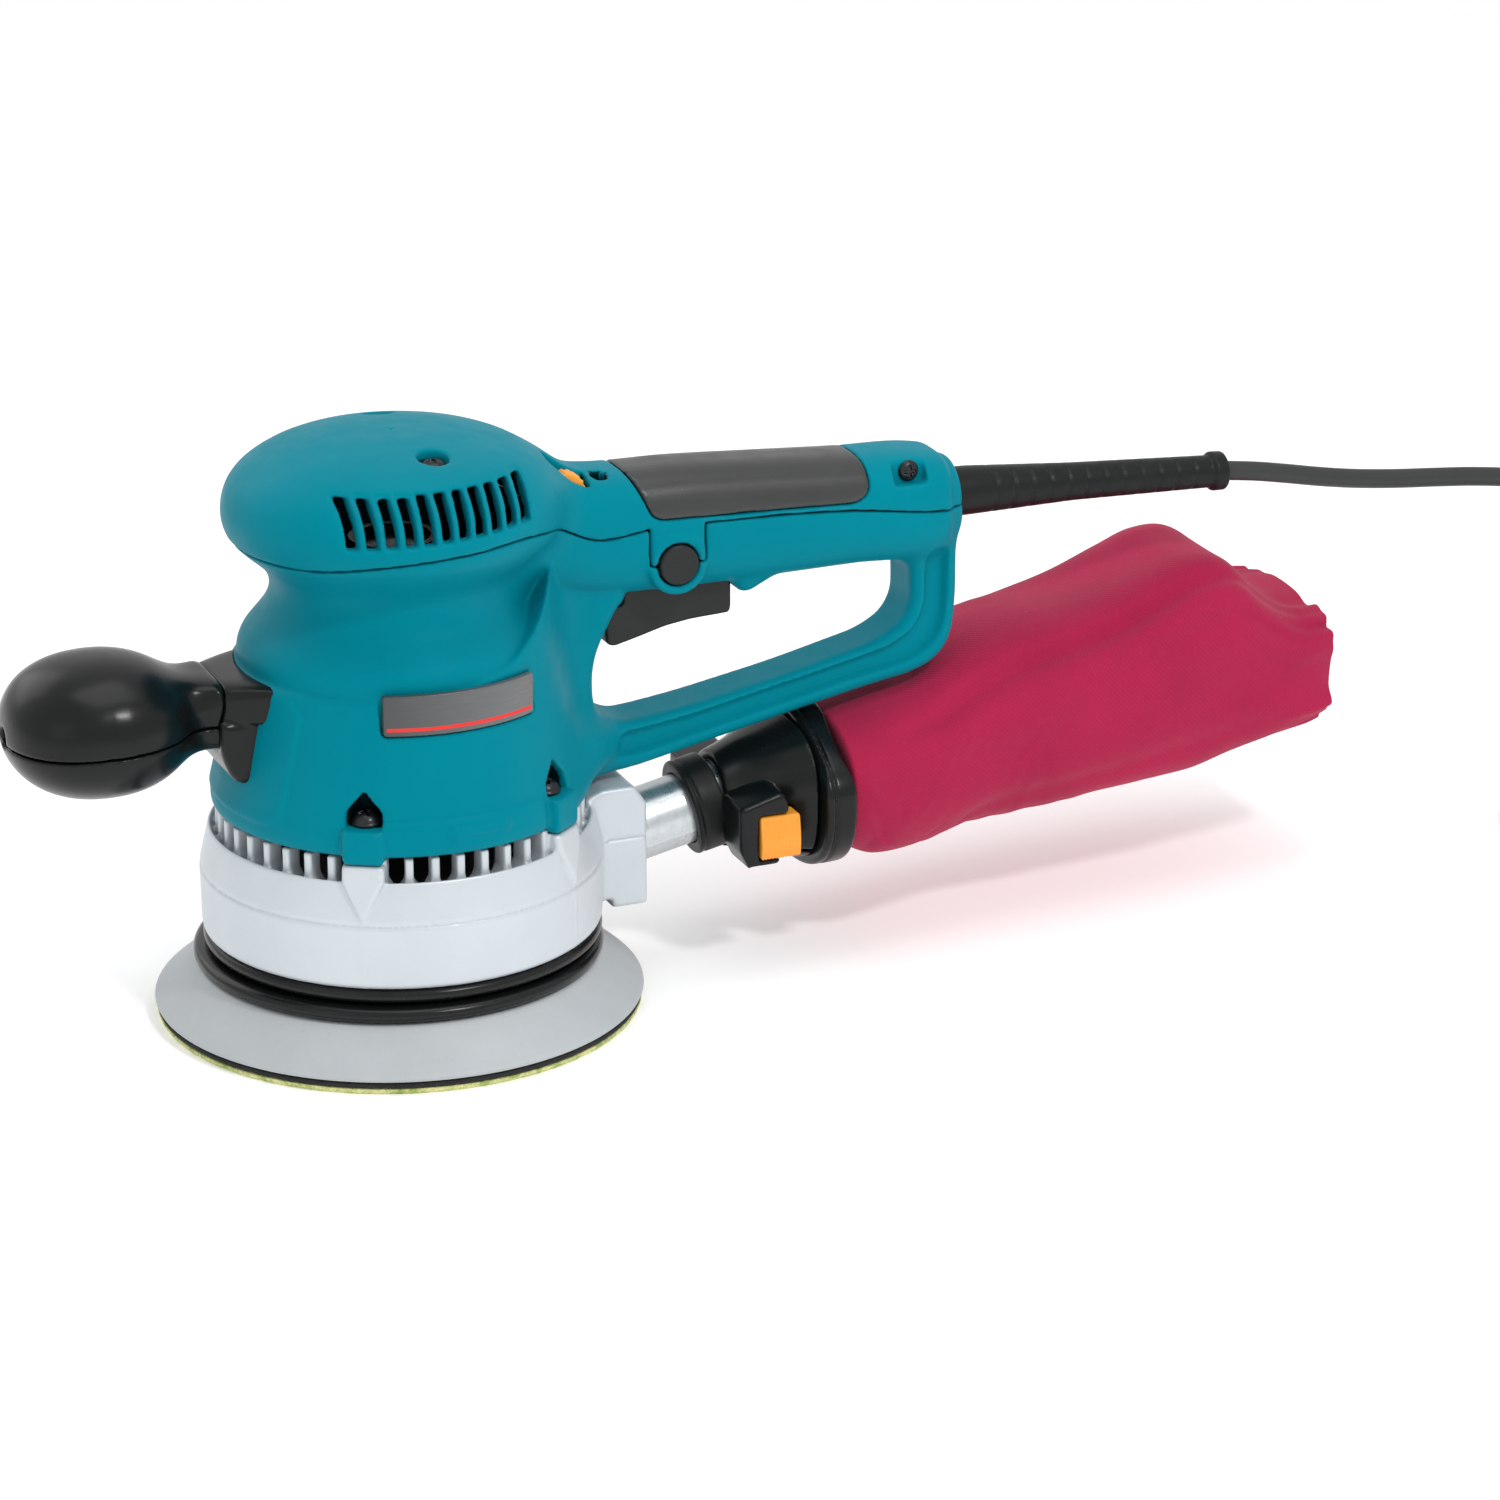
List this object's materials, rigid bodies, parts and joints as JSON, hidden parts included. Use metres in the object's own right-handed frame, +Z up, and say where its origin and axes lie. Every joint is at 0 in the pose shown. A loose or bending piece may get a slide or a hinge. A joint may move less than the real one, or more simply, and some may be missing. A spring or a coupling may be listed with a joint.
{
  "type": "orbital sander",
  "caption": "Corded random orbital sander with a round pad, palm head, D-handle, front knob and pull-off dust bag.",
  "frame": {"origin": "on the spindle axis, in the plane of the sanding face", "axes": "+Z up the spindle axis, +X to the D-handle and cord, -X to the front knob"},
  "size_m": [0.6056, 0.1524, 0.1818],
  "materials": {
    "teal_plastic": "satin moulded",
    "black_plastic": "satin moulded",
    "rubber": "matte",
    "grip_rubber": "matte, fine grain",
    "cast_aluminium": "fine cast",
    "pipe_aluminium": "turned",
    "steel": "ground",
    "motor_iron": "varnished",
    "copper_parts": "enamelled copper",
    "brass_parts": "plain",
    "grey_plastic": "matte",
    "pad_foam": "open cell",
    "abrasive": "coated grit",
    "orange_plastic": "satin",
    "crimson_cloth": "plain weave",
    "badge_plate": "brushed foil on plastic"
  },
  "bodies": {
    "tool": {"motor_housing": "teal_plastic", "top_cover": "teal_plastic", "grip_inlay": "grip_rubber", "badge": "badge_plate", "fan_housing": "cast_aluminium", "dust_nozzle": "pipe_aluminium", "dust_skirt": "rubber", "strain_relief": "rubber", "cord": "rubber", "cord_coil": "rubber", "plug": "rubber", "knob_upper": "black_plastic", "knob_lower": "black_plastic", "knob_arm": "black_plastic", "bearing_bridge": "black_plastic", "switch_module": "black_plastic", "speed_controller": "black_plastic", "cord_clamp": "black_plastic", "knob_bolt": "steel", "skirt_screw_1": "steel", "skirt_screw_2": "steel", "skirt_screw_3": "steel", "skirt_screw_4": "steel", "cover_screw_near": "steel", "cover_screw_far": "steel", "handle_screw": "steel", "lower_bearing": "steel", "upper_bearing": "steel", "trigger_pin": "steel", "lock_spring": "steel", "stator_core": "motor_iron", "field_coil_near": "copper_parts", "field_coil_far": "copper_parts", "brush_holder_near": "brass_parts", "brush_holder_far": "brass_parts", "plug_pin_1": "brass_parts", "plug_pin_2": "brass_parts", "brush_near": "pad_foam", "brush_far": "pad_foam", "capacitor": "orange_plastic"},
    "spindle": {"armature_shaft": "steel", "armature_core": "motor_iron", "commutator": "copper_parts", "eccentric_hub": "motor_iron", "fan": "black_plastic"},
    "pad": {"pad_plate": "grey_plastic", "pad_ring": "rubber", "pad_cushion": "pad_foam", "abrasive_disc": "abrasive", "pad_bolt": "steel", "pad_bearing": "steel"},
    "trigger_lever": {"trigger": "grip_rubber"},
    "lock": {"lock_button": "grip_rubber"},
    "dial": {"speed_dial": "orange_plastic"},
    "bag": {"bag_cuff": "rubber", "bag_adaptor": "black_plastic", "bag_frame": "black_plastic", "dust_bag": "crimson_cloth"},
    "latch_near": {"bag_latch_near": "orange_plastic"},
    "latch_far": {"bag_latch_far": "orange_plastic"}
  },
  "joints": [
    {"name": "spindle_spin", "type": "hinge", "parent": "tool", "child": "spindle", "pos_m": [0, 0, 0.05], "axis": [0, 0, 1], "continuous": true},
    {"name": "pad_spin", "type": "hinge", "parent": "spindle", "child": "pad", "pos_m": [-0.0015, 0, 0.01], "axis": [0, 0, 1], "continuous": true},
    {"name": "trigger_pull", "type": "hinge", "parent": "tool", "child": "trigger_lever", "pos_m": [0.0686, 0, 0.1215], "axis": [0, -1, 0], "range_deg": [0, 5], "stiffness_Nm_per_rad": 0.8, "springref_deg": -5.73},
    {"name": "lock_press", "type": "slide", "parent": "tool", "child": "lock", "axis": [0, 1, 0], "range_m": [0, 0.0025], "stiffness_N_per_m": 300, "springref_m": -0.001},
    {"name": "speed_set", "type": "hinge", "parent": "tool", "child": "dial", "pos_m": [0.051, -0.009, 0.1594], "axis": [0, 1, 0], "range_deg": [0, 270]},
    {"name": "bag_pull_off", "type": "slide", "parent": "tool", "child": "bag", "axis": [0.9781, 0, 0.2079], "range_m": [0, 0.03]},
    {"name": "latch_near_press", "type": "slide", "parent": "bag", "child": "latch_near", "axis": [0, 1, 0], "range_m": [0, 0.0018], "stiffness_N_per_m": 300, "springref_m": -0.001},
    {"name": "latch_far_press", "type": "slide", "parent": "bag", "child": "latch_far", "axis": [0, -1, 0], "range_m": [0, 0.0018], "stiffness_N_per_m": 300, "springref_m": -0.001}
  ]
}
